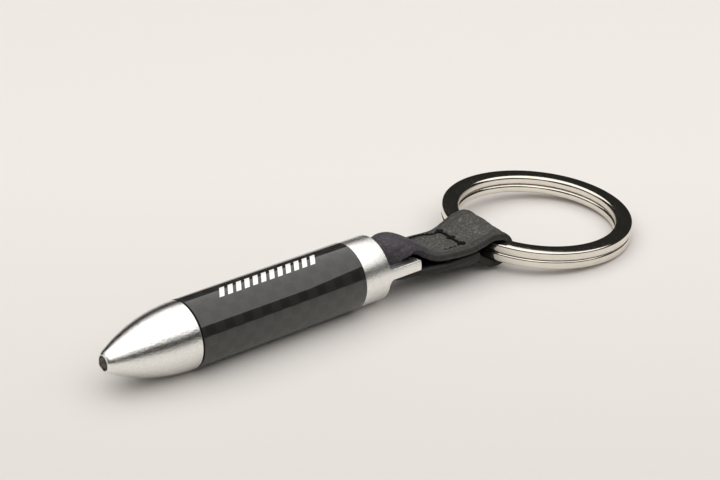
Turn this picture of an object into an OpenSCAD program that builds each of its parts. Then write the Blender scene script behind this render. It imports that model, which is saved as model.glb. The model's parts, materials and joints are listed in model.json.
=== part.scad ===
// Keychain flashlight: a slim twist light on a leather strap with a split ring.
// The light lies along X with its nose towards -X, and rests on the plane z = 0.

/* [Body] */
// Outer diameter of the carbon sleeve
body_d = 12; // [11.9:0.1:12.4]
// Length of the carbon sleeve
sleeve_len = 33.6; // [32:0.2:38]
// Wall of the carbon sleeve
sleeve_wall = 0.7; // [0.6:0.05:0.7]
// Gap between nose and sleeve while the light is off
seam = 0.3; // [0.3:0.02:0.4]

/* [Nose] */
// Length of the ogive nose cone
nose_len = 15.5; // [15.5:0.1:16.5]
// Outer diameter of the rim at the tip
tip_d = 3.1; // [3:0.1:3.4]
// Diameter of the light aperture
aperture_d = 2.55; // [2.2:0.05:2.6]
// Pitch of the thread between nose and core tube
thread_pitch = 0.75; // [0.5:0.25:0.75]

/* [Tail] */
// Outer diameter of the tail collar
collar_d = 11.68; // [11.4:0.02:11.68]
// Length of the plain part of the collar
collar_len = 5.3; // [4.5:0.1:7]
// Length of the slotted tongue behind the collar
tongue_len = 7; // [6.9:0.05:7.1]
// Thickness of the tongue, and diameter of its cross bar
tongue_t = 1.9; // [1.8:0.05:2]
// Width of the slot that the strap passes through
slot_w = 7.4; // [7.3:0.05:8]
// Roll of the light about its own axis as it lies
tail_roll = -6; // [-8:0.5:0]

/* [Strap] */
// Full width of the strap
strap_w = 11.6; // [11:0.1:11.8]
// Width of the strap where it is gathered through the slot
gather_w = 6.9; // [6.5:0.05:6.9]
// Thickness of one layer of the strap
layer_t = 1.2; // [1.1:0.05:1.25]
// Distance from the cross bar to the line where the strap flexes
flex_reach = 14.55; // [14.5:0.05:15]
// Distance from the cross bar to the centre of the split ring
ring_reach = 33.75; // [33.6:0.05:34]

/* [Split ring] */
// Outer diameter of the split ring
ring_d = 35; // [34.8:0.1:35.2]
// Width of the flat wire
wire_w = 3.15; // [3:0.05:3.2]
// Thickness of one turn of the wire
wire_t = 1.6; // [1.5:0.05:1.65]
// Gap between the two turns
turn_gap = 0.1; // [0.05:0.01:0.12]

/* [Cells] */
// Diameter of a button cell
cell_d = 7.9; // [7.8:0.05:7.9]
// Height of a button cell
cell_h = 3.6; // [3.3:0.1:3.6]

/* [Hidden] */
$fn = 96;

cell_count = 4;
body_r = body_d / 2;

// Nose: outer arc from base_r at the seam to the tip, then the steps of its bore.
base_r = body_r - 0.03;
tip_r = tip_d / 2;
nose_back = -seam;
nose_tip = nose_back - nose_len;
ogive_r = (nose_len * nose_len + (base_r - tip_r) * (base_r - tip_r)) / (2 * (base_r - tip_r));
window_seat = nose_tip + 1.1;
window_r = 1.7;
window_t = 0.6;
led_bore_r = 1.75;
holder_front = nose_tip + 6;
holder_r = 3.2;
holder_step = nose_tip + 10.2;
thread_r = 5;
thread_depth = 0.25;
seal_pocket_r = 5.64;
seal_pocket = nose_back - 0.9;

// Core tube: front rim, seal neck, blind bore for the cells, rear socket for the collar.
core_r = body_r - sleeve_wall - 0.02;
core_front = holder_step + 0.9;
neck_start = -1;
neck_r = thread_r - thread_depth;
cell_bore_r = 4.35;
cell_bore_end = 16.6;
spigot_r = 3.95;
spigot_len = 4.6;
socket_r = spigot_r + 0.03;
socket_len = 5;
seal_r = 0.4;

// Light module: the LED, its holder, the contact disc and the stack of cells.
led_r = 1.5;
led_flange_r = 1.9;
led_tip = window_seat + 0.8;
led_back = led_tip + 5.3;
lead_r = 0.2;
lead_y = 1.27;
lead_bend = holder_step + 0.4;
holder_back = holder_step + 1.3;
disc_t = 0.4;
stack_front = holder_back + disc_t + 0.02;
stack_back = stack_front + cell_count * cell_h;
cell_r = cell_d / 2;

// Tail: collar, tongue and the cross bar's centre.
collar_front = sleeve_len + 0.02;
collar_back = collar_front + collar_len;
tongue_end = collar_back + tongue_len;
bar_r = tongue_t / 2;
bar_x = tongue_end - bar_r;

// Split ring: its frame is tilted because it leans on the strap.
ring_tilt_x = 2.98;
ring_tilt_y = 3.73;
ring_yaw = 1.9;
ring_x = bar_x + ring_reach;
ring_y = 1.1;
ring_t = 2 * wire_t + turn_gap;
ring_tilt = acos(cos(ring_tilt_x) * cos(ring_tilt_y));
edge_out = 0.32;
edge_in = 0.2;
ring_low = ring_t / 2 * cos(ring_tilt) + (ring_d / 2 - edge_in) * sin(ring_tilt);
ring_z = ring_low - body_r;
ring_half_x = ring_d / 2 * cos(ring_tilt_y) + ring_t / 2 * sin(ring_tilt_y);

// The origin is below the middle of the whole object.
origin_x = (nose_tip + ring_x + ring_half_x) / 2;
origin_y = ring_y;

// Strap: positions beside the cross bar are measured from the bar's centre.
flex_half = layer_t;
front_end = flex_reach - flex_half - 0.4;
flex_drop = -1.6;

// ---- helpers ----

module lying() {
    translate([-origin_x, -origin_y, body_r]) children();
}

// Solid of revolution about the light's axis, from [radius, x] points.
module spin(outline) {
    rotate([0, 90, 0]) rotate_extrude() polygon(outline);
}

module tube(x0, x1, r_in, r_out) {
    spin([[r_in, x0], [r_out, x0], [r_out, x1], [r_in, x1]]);
}

module rod_x(x0, x1, r) {
    translate([x0, 0, 0]) rotate([0, 90, 0]) cylinder(h = x1 - x0, r = r);
}

// Outline in the X-Z plane pulled out evenly to both sides along Y.
module slab(width) {
    rotate([90, 0, 0]) linear_extrude(width, center = true) children();
}

function arc(centre, r, a0, a1, n) =
    [for (i = [0:n]) centre + r * [cos(a0 + (a1 - a0) * i / n), sin(a0 + (a1 - a0) * i / n)]];

// Catmull-Rom curve through a list of points.
function blend_point(a, b, c, d, t) =
    0.5 * (2 * b + (c - a) * t + (2 * a - 5 * b + 4 * c - d) * t * t + (3 * b - a - 3 * c + d) * t * t * t);
function open_curve(p, n) = let (last = len(p) - 1) concat(
    [for (i = [0:last - 1], k = [0:n - 1])
        blend_point(p[max(i - 1, 0)], p[i], p[i + 1], p[min(i + 2, last)], k / n)],
    [p[last]]
);
function closed_curve(p, n) = let (m = len(p))
    [for (i = [0:m - 1], k = [0:n - 1])
        blend_point(p[(i + m - 1) % m], p[i], p[(i + 1) % m], p[(i + 2) % m], k / n)];

// Saw-tooth outline of an outside thread, from x0 to x1.
function thread_points(x0, x1, r, depth) = let (turns = floor((x1 - x0) / thread_pitch))
    [for (i = [0:turns - 1], k = [0:2])
        let (x = x0 + i * thread_pitch)
        k == 0 ? [r - depth, x] : k == 1 ? [r, x + 0.4 * thread_pitch] : [r, x + 0.6 * thread_pitch]];

// ---- nose ----

function nose_radius(s) = base_r - ogive_r + sqrt(ogive_r * ogive_r - s * s);

module nose_cone() {
    steps = 24;
    rim = 0.12;
    aperture_r = aperture_d / 2;
    outer = [for (i = [0:steps - 1]) [nose_radius(nose_len * i / steps), nose_back - nose_len * i / steps]];
    bore = [
        [tip_r, nose_tip + 0.1],
        [tip_r - 0.1, nose_tip],
        [aperture_r + rim, nose_tip],
        [aperture_r, nose_tip + rim],
        [aperture_r, window_seat],
        [led_bore_r, window_seat],
        [led_bore_r, holder_front],
        [holder_r + 0.08, holder_front],
        [holder_r + 0.08, holder_step],
        [thread_r + 0.05, holder_step],
        [thread_r + 0.05, seal_pocket],
        [seal_pocket_r, seal_pocket],
        [seal_pocket_r, nose_back]
    ];
    color("#d4d3cf") lying() spin(concat(outer, bore));
}

module lens_window() {
    color("#8f8a80", 0.7) lying() rod_x(window_seat + 0.02, window_seat + window_t, window_r);
}

module nose_seal() {
    color("#141414") lying() translate([-seal_r - 0.02, 0, 0]) rotate([0, 90, 0])
        rotate_extrude() translate([neck_r + seal_r + 0.02, 0]) circle(r = seal_r, $fn = 32);
}

// ---- light module ----

module led() {
    dome = arc([0, led_tip + led_r], led_r, 270, 360, 12);
    color("#e8e6d8") lying() spin(concat(dome, [
        [led_r, led_back - 1],
        [led_flange_r, led_back - 1],
        [led_flange_r, led_back],
        [0, led_back]
    ]));
}

// One lead runs back to the contact disc. The other bends sideways to the core tube.
module led_leads() {
    side_len = 3.5;
    color("#b9b9b5") lying() {
        translate([0, lead_y, 0]) rod_x(led_back, holder_back, lead_r);
        translate([0, -lead_y, 0]) rod_x(led_back, lead_bend, lead_r);
        translate([lead_bend, -lead_y + lead_r, 0]) rotate([90, 0, 0]) cylinder(h = side_len, r = lead_r);
    }
}

module led_holder() {
    flange_r = cell_bore_r - 0.15;
    groove = lead_r + 0.05;
    color("#26262a") lying() difference() {
        union() {
            rod_x(holder_front + 0.05, holder_back, holder_r);
            rod_x(holder_step + 0.02, holder_back, flange_r);
        }
        rod_x(holder_front, led_back - 0.98, led_r + 0.03);
        rod_x(holder_front, led_back + 0.02, led_flange_r + 0.03);
        for (side = [-1, 1]) translate([0, side * lead_y, 0]) rod_x(led_back - 0.1, holder_back + 1, groove);
        translate([lead_bend - groove, -flange_r - 1, -groove])
            cube([2 * groove, flange_r + 1 - lead_y, 2 * groove]);
    }
}

module contact_disc() {
    disc_r = 3.6;
    color("#c9a24a") lying() rod_x(holder_back + 0.01, holder_back + disc_t, disc_r);
}

module battery_cell(i) {
    x = stack_front + (i - 1) * cell_h;
    cap_h = 0.35;
    cap_r = cell_r * 0.8;
    edge = 0.25;
    color("#c4c5c6") lying() spin([
        [0, x],
        [cell_r - edge, x],
        [cell_r, x + edge],
        [cell_r, x + cell_h - cap_h - edge],
        [cell_r - edge, x + cell_h - cap_h],
        [cap_r, x + cell_h - cap_h],
        [cap_r, x + cell_h - 0.02],
        [0, x + cell_h - 0.02]
    ]);
}

module battery_sleeve() {
    color("#3b5c8c") lying() tube(stack_front, stack_back, cell_r + 0.06, cell_r + 0.22);
}

// A coil drawn as plain rings joined by short struts.
module battery_spring() {
    turns = 5;
    span = cell_bore_end - stack_back;
    coil_r = 2.6;
    wire_r = 0.3;
    pitch = (span - 2 * wire_r - 0.04) / turns;
    color("#9c9c98") lying() {
        for (i = [0:turns]) translate([stack_back + 0.02 + wire_r + i * pitch, 0, 0]) rotate([0, 90, 0])
            rotate_extrude() translate([coil_r, 0]) circle(r = wire_r, $fn = 24);
        for (i = [0:turns - 1]) translate([stack_back + 0.02 + wire_r + i * pitch, 0, 0])
            rotate([180 * (i % 2), 0, 0]) translate([0, 0, coil_r]) rod_x(0, pitch, wire_r * 0.8);
    }
}

// ---- barrel ----

module core_tube() {
    back = sleeve_len - 0.05;
    color("#b4b5b6") lying() spin(concat(
        thread_points(core_front, neck_start - 0.2, thread_r, thread_depth),
        [
            [neck_r, neck_start - 0.1],
            [neck_r, 0],
            [core_r, 0],
            [core_r, back],
            [socket_r, back],
            [socket_r, back - socket_len],
            [0, back - socket_len],
            [0, cell_bore_end],
            [cell_bore_r, cell_bore_end],
            [cell_bore_r, core_front]
        ]
    ));
}

module carbon_sleeve() {
    color("#2d2c2b") lying() tube(0, sleeve_len, body_r - sleeve_wall, body_r);
}

module tongue_outline() {
    fillet = 0.8;
    corner = 0.45;
    polygon(concat(
        [[collar_back - 0.5, -bar_r - fillet]],
        arc([collar_back + fillet, -bar_r - fillet], fillet, 180, 90, 6),
        arc([tongue_end - corner, -bar_r + corner], corner, -90, 0, 6),
        arc([tongue_end - corner, bar_r - corner], corner, 0, 90, 6),
        arc([collar_back + fillet, bar_r + fillet], fillet, 270, 180, 6),
        [[collar_back - 0.5, bar_r + fillet]]
    ));
}

module tail_collar() {
    edge = 0.18;
    r = collar_d / 2;
    spigot = collar_front - spigot_len;
    color("#d4d3cf") lying() rotate([tail_roll, 0, 0]) union() {
        spin([
            [0, spigot],
            [spigot_r, spigot],
            [spigot_r, collar_front],
            [r - edge, collar_front],
            [r, collar_front + edge],
            [r, collar_back - edge],
            [r - edge, collar_back],
            [0, collar_back]
        ]);
        difference() {
            intersection() {
                slab(2 * r + 1) tongue_outline();
                rod_x(collar_back - 0.4, tongue_end + 1, r);
            }
            translate([collar_back, -slot_w / 2, -body_r]) cube([tongue_len + 1, slot_w, body_d]);
        }
        translate([bar_x, 0, 0]) rotate([90, 0, 0]) cylinder(h = slot_w + 0.6, r = bar_r, center = true);
    }
}

// ---- strap ----

// Straight double layer behind the loop, from the stitching to the flex line.
seam_top = [[6.25, 0.2], [front_end, flex_drop + layer_t]];
seam_low = [[6.25, -2.25], [front_end, flex_drop - layer_t]];

// Plan outline of the front half: narrow through the slot, full width behind it.
module front_plan() {
    narrow = gather_w / 2;
    wide = strap_w / 2;
    polygon([
        [-7, -narrow], [1.7, -narrow], [6.3, -wide], [front_end + 1, -wide],
        [front_end + 1, wide], [6.3, wide], [1.7, narrow], [-7, narrow]
    ]);
}

module strap_front() {
    loop = [
        seam_top[0], [2.4, 3.3], [-1.7, 5.15], [-4.6, 2.4], [-4.5, -0.9], [-1.9, -2.75], [2.3, -2.85], seam_low[0]
    ];
    hollow = [
        [5.2, -0.95], [1.9, 2.05], [-1.5, 3.85], [-3.3, 1.9], [-3.25, -0.45], [-1.3, -1.55], [2.1, -1.6]
    ];
    color("#232122") lying() rotate([tail_roll, 0, 0]) translate([bar_x, 0, 0]) intersection() {
        slab(strap_w + 2) difference() {
            polygon(concat([seam_top[1]], open_curve(loop, 6), [seam_low[1]]));
            polygon(closed_curve(hollow, 6));
        }
        linear_extrude(20, center = true) front_plan();
    }
}

// Frame of the split ring: origin at its centre, Z along its own axis.
module ring_frame() {
    lying() translate([ring_x, ring_y, ring_z]) rotate([ring_tilt_x, ring_tilt_y, ring_yaw]) children();
}

module strap_rear() {
    hinge = flex_reach - ring_reach;
    outer_edge = -ring_d / 2;
    inner_edge = outer_edge + wire_w;
    top = ring_t / 2 + 0.25;
    low = -top - 0.5;
    fold = inner_edge + 1.7;
    skin = layer_t;
    color("#232122") ring_frame() slab(strap_w) difference() {
        union() {
            translate([hinge, 0]) circle(r = flex_half, $fn = 32);
            polygon([
                [hinge, -flex_half],
                [outer_edge - 0.9, low - 0.2],
                [outer_edge + 0.6, low - skin],
                [fold - 0.8, low - skin],
                [fold + 0.6, low - 0.2],
                [fold + skin, -0.6],
                [fold + skin, 0.9],
                [fold + 0.5, top + 0.3],
                [fold - 0.9, top + skin],
                [outer_edge, top + skin],
                [outer_edge - 1.2, top],
                [hinge, flex_half]
            ]);
        }
        polygon([
            [outer_edge - 0.9, 0],
            [outer_edge - 0.3, low],
            [fold - 0.9, low],
            [fold, low + 0.9],
            [fold, top - 0.9],
            [fold - 0.9, top],
            [outer_edge - 0.2, top]
        ]);
    }
}

// One stitch: a short round thread half sunk in the leather.
module stitch(length) {
    thread_wire_r = 0.2;
    rotate([0, 90, 0]) cylinder(h = length, r = thread_wire_r, center = true, $fn = 16);
}

function on_line(line, x) = line[0][1] + (line[1][1] - line[0][1]) * (x - line[0][0]) / (line[1][0] - line[0][0]);

// On each face, a row along both edges and a row across, behind them.
module strap_stitching() {
    first = 7.4;
    pitch = 1.5;
    per_row = 4;
    across = 5;
    stitch_len = 1.1;
    cross_len = 1.2;
    row_y = strap_w / 2 - 1.3;
    cross_x = first + per_row * pitch - 0.6;
    cross_pitch = 2 * row_y / across;
    color("#0f0e0f") lying() rotate([tail_roll, 0, 0]) translate([bar_x, 0, 0]) for (face = [seam_top, seam_low]) {
        for (side = [-1, 1], i = [0:per_row - 1])
            translate([first + i * pitch, side * row_y, on_line(face, first + i * pitch)])
                stitch(stitch_len);
        for (i = [0:across - 1])
            translate([cross_x, (i - (across - 1) / 2) * cross_pitch, on_line(face, cross_x)])
                rotate([0, 0, 90]) stitch(cross_len);
    }
}

// ---- split ring ----

// Chamfered cross-section of the flat wire, [radius, z].
module wire_section() {
    ro = ring_d / 2;
    ri = ro - wire_w;
    polygon([
        [ri + edge_in, 0], [ro - edge_in, 0], [ro, edge_in], [ro, wire_t - edge_out],
        [ro - edge_out, wire_t], [ri + edge_out, wire_t], [ri, wire_t - edge_out], [ri, edge_in]
    ]);
}

// One turn, open by a narrow cut beside the web.
module turn(cut_angle) {
    cut = 0.2;
    difference() {
        rotate_extrude() wire_section();
        rotate([0, 0, cut_angle]) translate([ring_d / 2 - wire_w - 1, -cut / 2, -1]) cube([wire_w + 2, cut, wire_t + 2]);
    }
}

// Two turns of one wire. A short web joins the end of the lower turn to the start of the upper one.
module split_ring() {
    web_turn = 4;
    web_inset = 0.7;
    web_sink = 0.5;
    cut_turn = 0.6;
    mean_r = (ring_d - wire_w) / 2;
    color("#c8c8c6") ring_frame() translate([0, 0, -ring_t / 2]) rotate([0, 0, 180 - web_turn / 2]) union() {
        turn(web_turn + cut_turn);
        translate([0, 0, wire_t + turn_gap]) turn(-cut_turn);
        rotate_extrude(angle = web_turn)
            translate([mean_r - wire_w / 2 + web_inset, wire_t - web_sink])
                square([wire_w - 2 * web_inset, turn_gap + 2 * web_sink]);
    }
}

nose_cone();
lens_window();
nose_seal();
led();
led_leads();
led_holder();
contact_disc();
for (i = [1:cell_count]) battery_cell(i);
battery_sleeve();
battery_spring();
core_tube();
carbon_sleeve();
tail_collar();
strap_front();
strap_rear();
strap_stitching();
split_ring();
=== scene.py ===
"""Looks for a keychain flashlight: a bullet-nosed carbon tube on a folded leather strap and a split ring.

Three frames are used, all in millimetres: LIGHT (origin on the axis at the front face of the sleeve,
X towards the tail), BAR (origin on the cross bar of the tongue, rolled with the tail) and RING (origin
at the ring's centre, Z along its axis). Each one is a matrix to the row frame in metres.
"""

import json
import math

import bmesh
import bpy
import numpy as np
from mathutils import Matrix, Vector, noise


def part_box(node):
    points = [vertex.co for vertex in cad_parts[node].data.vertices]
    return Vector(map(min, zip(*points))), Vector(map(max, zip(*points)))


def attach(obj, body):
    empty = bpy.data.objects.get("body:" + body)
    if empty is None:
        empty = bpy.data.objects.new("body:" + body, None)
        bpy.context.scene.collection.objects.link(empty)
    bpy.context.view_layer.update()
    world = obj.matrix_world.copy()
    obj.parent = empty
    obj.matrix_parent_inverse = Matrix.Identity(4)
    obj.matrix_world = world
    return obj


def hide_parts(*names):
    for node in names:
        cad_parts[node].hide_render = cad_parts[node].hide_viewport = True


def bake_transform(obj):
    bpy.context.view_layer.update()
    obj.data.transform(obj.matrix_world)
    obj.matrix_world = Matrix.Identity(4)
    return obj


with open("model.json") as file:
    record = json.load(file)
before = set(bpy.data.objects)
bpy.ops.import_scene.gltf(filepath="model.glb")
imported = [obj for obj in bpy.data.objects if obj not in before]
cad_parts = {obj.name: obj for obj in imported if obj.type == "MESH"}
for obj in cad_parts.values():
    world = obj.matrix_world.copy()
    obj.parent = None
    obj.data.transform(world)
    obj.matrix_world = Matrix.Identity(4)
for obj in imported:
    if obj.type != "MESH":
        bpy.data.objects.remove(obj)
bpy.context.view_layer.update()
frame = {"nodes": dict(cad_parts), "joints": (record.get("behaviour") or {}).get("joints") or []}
scene = bpy.context.scene
scene.view_settings.view_transform = "Standard"

MM = 0.001

# ---- frames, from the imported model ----

joints = {j["name"]: j for j in frame["joints"]}
sleeve_lo, sleeve_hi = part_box("carbon_sleeve")
nose_lo, nose_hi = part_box("nose_cone")
axis_y = (sleeve_lo.y + sleeve_hi.y) / 2
axis_z = (sleeve_lo.z + sleeve_hi.z) / 2
bar_at = Vector(joints["strap_pivot"]["pos_m"])
bar_axis = Vector(joints["strap_pivot"]["axis"]).normalized()
ring_at = Vector(joints["ring_turn"]["pos_m"])
ring_up = Vector(joints["ring_turn"]["axis"]).normalized()
ring_across = Vector(joints["strap_flex"]["axis"]).normalized()


def frame_matrix(origin, x, y, z):
    """A frame in millimetres as a matrix to the row frame in metres."""
    turn = Matrix((x, y, z)).transposed().to_4x4()
    return Matrix.Translation(origin) @ turn @ Matrix.Scale(MM, 4)


X_AXIS = Vector((1, 0, 0))
LIGHT = frame_matrix(Vector((sleeve_lo.x, axis_y, axis_z)), X_AXIS, Vector((0, 1, 0)), Vector((0, 0, 1)))
BAR = frame_matrix(bar_at, X_AXIS, bar_axis, X_AXIS.cross(bar_axis))
RING = frame_matrix(ring_at, ring_across.cross(ring_up), ring_across, ring_up)



def along_light(node):
    """Where a CAD node starts and ends along the light, in millimetres in the LIGHT frame."""
    lo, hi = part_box(node)
    return (lo.x - sleeve_lo.x) / MM, (hi.x - sleeve_lo.x) / MM


# ---- sizes in millimetres, from the frame and the design ----

BODY_R = (sleeve_hi.z - sleeve_lo.z) / 2 / MM
SLEEVE_LEN = (sleeve_hi.x - sleeve_lo.x) / MM
NOSE_TIP, NOSE_BACK = along_light("nose_cone")
NOSE_LEN = NOSE_BACK - NOSE_TIP
NOSE_BASE_R = (nose_hi.z - nose_lo.z) / 2 / MM
TIP_R = 1.55
APERTURE_R = 1.275
COLLAR_R = 5.84
COLLAR_FRONT = SLEEVE_LEN + 0.02
COLLAR_BACK = COLLAR_FRONT + 5.3
TONGUE_END = along_light("tail_collar")[1]
TONGUE_HALF = 0.95
SLOT_HALF = 3.7
BAR_X = (bar_at.x - sleeve_lo.x) / MM
CROSS_BAR_R = 0.95
CORE_R = BODY_R - 0.72
THREAD_R = 5.0
THREAD_PITCH = 0.75
NECK_R = 3.95
INK = 0.012
RING_R = 17.5
WIRE_W = 3.15
WIRE_T = 1.6
RING_T = 3.3
LEATHER_T = 1.2
STRAP_W = 11.6


# ---- mesh helpers ----


def to_row(points, matrix):
    """Rows of points taken through one of the frames' matrices."""
    return points @ np.array(matrix.to_3x3()).T + np.array(matrix.translation)


def shown(name, mesh, smooth):
    """An object of the scene from a mesh, shaded smooth up to this angle in degrees."""
    mesh.shade_smooth()
    mesh.set_sharp_from_angle(angle=math.radians(smooth))
    obj = bpy.data.objects.new(name, mesh)
    scene.collection.objects.link(obj)
    return obj


def add_piece(name, verts, faces, matrix, finish, smooth=30.0):
    """A mesh object from points in a millimetre frame, with its normals turned outwards."""
    points = to_row(np.array(verts, float), matrix)
    mesh = bpy.data.meshes.new(name)
    mesh.from_pydata(points.tolist(), [], faces)
    work = bmesh.new()
    work.from_mesh(mesh)
    bmesh.ops.recalc_face_normals(work, faces=work.faces)
    work.to_mesh(mesh)
    work.free()
    mesh.materials.append(finish)
    return shown(name, mesh, smooth)


def settle(obj, body, slot, *nodes):
    """Rides the piece on its body and hides the CAD nodes it stands for."""
    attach(obj, body)
    if nodes:
        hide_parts(*nodes)
    return obj


def arc(cx, cy, r, start, end, steps):
    """Points on an arc, with angles in degrees."""
    turns = [math.radians(start + (end - start) * i / steps) for i in range(steps + 1)]
    return [(cx + r * math.cos(t), cy + r * math.sin(t)) for t in turns]


def rounded(corners, steps=4):
    """A closed outline from (x, y) or (x, y, radius) corners, each radius drawn as an arc."""
    out = []
    count = len(corners)
    for i, corner in enumerate(corners):
        here = Vector(corner[:2])
        radius = corner[2] if len(corner) > 2 else 0
        if not radius:
            out.append(tuple(here))
            continue
        back = Vector(corners[i - 1][:2]) - here
        ahead = Vector(corners[(i + 1) % count][:2]) - here
        reach = min(radius, back.length * 0.49, ahead.length * 0.49)
        a = here + back.normalized() * reach
        b = here + ahead.normalized() * reach
        for k in range(steps + 1):
            t = k / steps
            out.append(tuple((1 - t) ** 2 * a + 2 * t * (1 - t) * here + t * t * b))
    return out


def lathe(outline, segments=160):
    """Solid of revolution about X from a closed outline of (x, radius) points."""
    verts, rings, faces = [], [], []
    for x, r in outline:
        if r < 1e-6:
            rings.append([len(verts)] * segments)
            verts.append((x, 0.0, 0.0))
            continue
        rings.append(list(range(len(verts), len(verts) + segments)))
        for i in range(segments):
            t = 2 * math.pi * i / segments
            verts.append((x, r * math.cos(t), r * math.sin(t)))
    for a, b in zip(rings, rings[1:] + rings[:1]):
        for i in range(segments):
            j = (i + 1) % segments
            face = list(dict.fromkeys((a[i], a[j], b[j], b[i])))
            if len(face) > 2:
                faces.append(face)
    return verts, faces


def loft(sections, closed=False):
    """Skin over closed cross-sections with the same number of points, with flat ends unless closed."""
    count = len(sections[0])
    verts = [p for s in sections for p in s]
    faces = []
    last = len(sections) if closed else len(sections) - 1
    for k in range(last):
        a, b = k * count, (k + 1) % len(sections) * count
        faces += [(a + i, a + (i + 1) % count, b + (i + 1) % count, b + i) for i in range(count)]
    if not closed:
        faces.append(tuple(range(count)))
        faces.append(tuple(range((len(sections) - 1) * count, len(sections) * count)))
    return verts, faces


def joined(*parts):
    """Several (verts, faces) pairs as one."""
    verts, faces = [], []
    for v, f in parts:
        start = len(verts)
        verts += list(v)
        faces += [tuple(start + i for i in face) for face in f]
    return verts, faces


def fused(name, parts, matrix, finish, smooth=30.0):
    """One closed piece from overlapping (verts, faces) solids."""
    first, *rest = [add_piece(f"{name}_{i}", *p, matrix, finish, smooth) for i, p in enumerate(parts)]
    for other in rest:
        step = first.modifiers.new("union", "BOOLEAN")
        step.operation = "UNION"
        step.solver = "EXACT"
        step.object = other
    mesh = bpy.data.meshes.new_from_object(first.evaluated_get(bpy.context.evaluated_depsgraph_get()))
    for spent in [first, *rest]:
        bpy.data.objects.remove(spent)
    return shown(name, mesh, smooth)


def smoothstep(low, high, x):
    """0 below low, 1 above high, smooth between."""
    t = np.clip((np.asarray(x, float) - low) / (high - low), 0, 1)
    return t * t * (3 - 2 * t)


def catmull(points, per_span):
    """Open Catmull-Rom curve through rows of numbers."""
    p = np.array(points, float)
    p = np.vstack([2 * p[0] - p[1], p, 2 * p[-1] - p[-2]])
    rows = []
    for i in range(1, len(p) - 2):
        for k in range(per_span):
            t = k / per_span
            a, b, c, d = p[i - 1 : i + 3]
            cubic = 2 * b + (c - a) * t + (2 * a - 5 * b + 4 * c - d) * t * t
            rows.append(0.5 * (cubic + (3 * b - a - 3 * c + d) * t**3))
    rows.append(p[-2])
    return np.array(rows)


# ---- material helpers ----


class Finish:
    """A Principled material with short calls for its procedural detail."""

    def __init__(self, name, **sockets):
        self.material = bpy.data.materials.new(name)
        self.material.use_nodes = True
        self.tree = self.material.node_tree
        self.shader = self.tree.nodes["Principled BSDF"]
        for socket, value in sockets.items():
            self.shader.inputs[socket.replace("_", " ")].default_value = value

    def node(self, kind, inputs=None, **settings):
        made = self.tree.nodes.new(kind)
        for key, value in settings.items():
            setattr(made, key, value)
        for key, value in (inputs or {}).items():
            self.put(made.inputs[key], value)
        return made

    def put(self, socket, value):
        if isinstance(value, bpy.types.NodeSocket):
            self.tree.links.new(value, socket)
        else:
            socket.default_value = value

    def math(self, operation, a, b=0.0, c=0.0):
        made = self.node("ShaderNodeMath", operation=operation)
        for socket, value in zip(made.inputs, (a, b, c)):
            self.put(socket, value)
        return made.outputs[0]

    def place(self):
        """Where the point is at rest, in metres in the row frame."""
        return self.node("ShaderNodeTexCoord").outputs["Object"]

    def stretched(self, vector, scale):
        made = self.node("ShaderNodeVectorMath", operation="MULTIPLY")
        self.put(made.inputs[0], vector)
        made.inputs[1].default_value = scale
        return made.outputs[0]

    def noise(self, vector, size_mm, detail=2.0, rough=0.5):
        """Noise of about this grain size."""
        inputs = {"Vector": vector, "Scale": 1 / (size_mm * MM), "Detail": detail, "Roughness": rough}
        made = self.node("ShaderNodeTexNoise", inputs)
        return made.outputs["Fac"]

    def ramp(self, value, *stops):
        """Colour ramp from (position, colour) stops. A colour may be one number, for grey."""
        made = self.node("ShaderNodeValToRGB")
        self.put(made.inputs[0], value)
        keys = made.color_ramp.elements
        while len(keys) < len(stops):
            keys.new(0.5)
        for key, (at, colour) in zip(keys, stops):
            key.position = at
            grey = isinstance(colour, (int, float))
            key.color = (colour, colour, colour, 1) if grey else (*colour, 1)
        return made.outputs["Color"]

    def mix(self, share, a, b):
        made = self.node("ShaderNodeMix", data_type="RGBA")
        self.put(made.inputs["Factor"], share)
        self.put(made.inputs["A"], a if isinstance(a, bpy.types.NodeSocket) else (*a, 1))
        self.put(made.inputs["B"], b if isinstance(b, bpy.types.NodeSocket) else (*b, 1))
        return made.outputs["Result"]

    def between(self, value, low, high):
        """value, from 0 to 1, spread from low to high."""
        made = self.node("ShaderNodeMapRange", {"To Min": low, "To Max": high})
        self.put(made.inputs["Value"], value)
        return made.outputs["Result"]

    def smooth(self, value, low_mm, high_mm):
        """0 below the first length, 1 above the second, smooth between."""
        ends = {"Value": value, "From Min": low_mm * MM, "From Max": high_mm * MM}
        return self.node("ShaderNodeMapRange", ends, interpolation_type="SMOOTHSTEP").outputs["Result"]

    def window(self, value, rise_from, rise_to, fall_from, fall_to):
        """1 between the rise and the fall, 0 outside them, all in millimetres."""
        fall = self.math("SUBTRACT", 1.0, self.smooth(value, fall_from, fall_to))
        return self.math("MULTIPLY", self.smooth(value, rise_from, rise_to), fall)

    def bump(self, height, depth_mm, strength=1.0, under=None):
        made = self.node("ShaderNodeBump", {"Strength": strength, "Distance": depth_mm * MM})
        self.put(made.inputs["Height"], height)
        if under is not None:
            self.put(made.inputs["Normal"], under)
        return made.outputs["Normal"]

    def set(self, **sockets):
        for socket, value in sockets.items():
            self.put(self.shader.inputs[socket.replace("_", " ")], value)
        return self.material


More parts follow.
